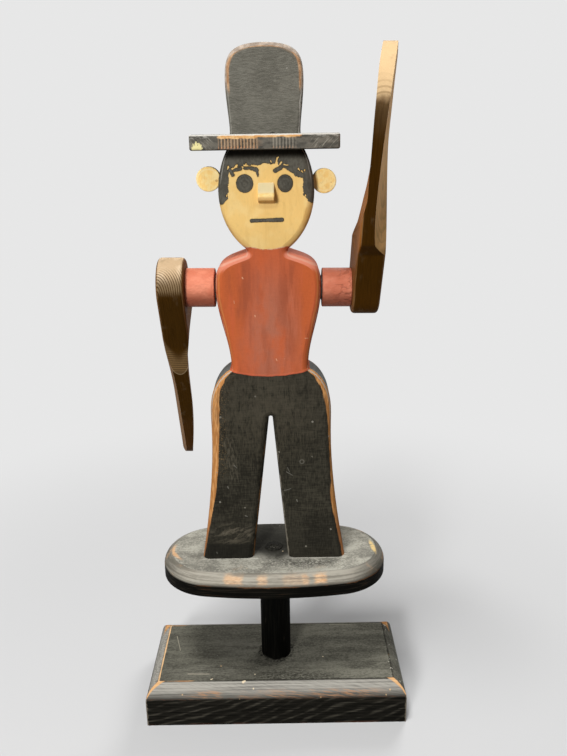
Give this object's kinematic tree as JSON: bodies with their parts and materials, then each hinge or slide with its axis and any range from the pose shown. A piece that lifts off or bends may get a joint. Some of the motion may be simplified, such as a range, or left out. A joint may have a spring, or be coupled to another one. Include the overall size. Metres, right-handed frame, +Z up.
{
  "type": "whirligig figure",
  "caption": "Wooden whirligig man in a top hat on an oval platform that swivels on a post, with carved paddle arms that turn together on an axle through the shoulders.",
  "frame": {"origin": "middle of the base board's underside", "axes": "+Z up along the post, -Y the way the figure faces, +X the figure's left, along the arm axle"},
  "size_m": [0.229, 0.2216, 0.5615],
  "materials": {
    "black_painted_wood": "worn flat black paint over softwood",
    "figure_painted_wood": "flat paint over softwood, black below and brick red and tan above",
    "red_painted_wood": "flat brick red paint over wood",
    "tan_painted_wood": "flat tan paint over wood",
    "stained_wood": "brown stain on bare softwood",
    "bare_dowel_wood": "bare hardwood dowel",
    "screw_steel": "zinc-plated steel",
    "painted_screw_steel": "steel painted over with the wood round it",
    "dark_washer_steel": "dull dark steel"
  },
  "bodies": {
    "stand": {"base_board": "black_painted_wood", "post": "black_painted_wood", "base_screw": "screw_steel", "pivot_screw": "painted_screw_steel", "pivot_washer": "painted_screw_steel"},
    "figure": {"platform": "black_painted_wood", "figure_body": "figure_painted_wood", "foot_screws": "screw_steel", "nose": "tan_painted_wood", "ear_left": "tan_painted_wood", "ear_right": "tan_painted_wood", "ear_pins": "bare_dowel_wood", "hat_brim": "black_painted_wood", "hat_crown": "black_painted_wood", "crown_screws": "screw_steel", "brim_nails": "painted_screw_steel"},
    "arms": {"arm_axle": "bare_dowel_wood", "sleeve_left": "red_painted_wood", "sleeve_right": "red_painted_wood", "shoulder_washers": "dark_washer_steel", "paddle_left": "stained_wood", "paddle_right": "stained_wood"}
  },
  "joints": [
    {"name": "platform_swivel", "type": "hinge", "parent": "stand", "child": "figure", "pos_m": [0, 0, 0.127], "axis": [0, 0, 1], "continuous": true},
    {"name": "arm_spin", "type": "hinge", "parent": "figure", "child": "arms", "pos_m": [0, 0, 0.381], "axis": [0.9999, 0, -0.0122], "continuous": true}
  ]
}
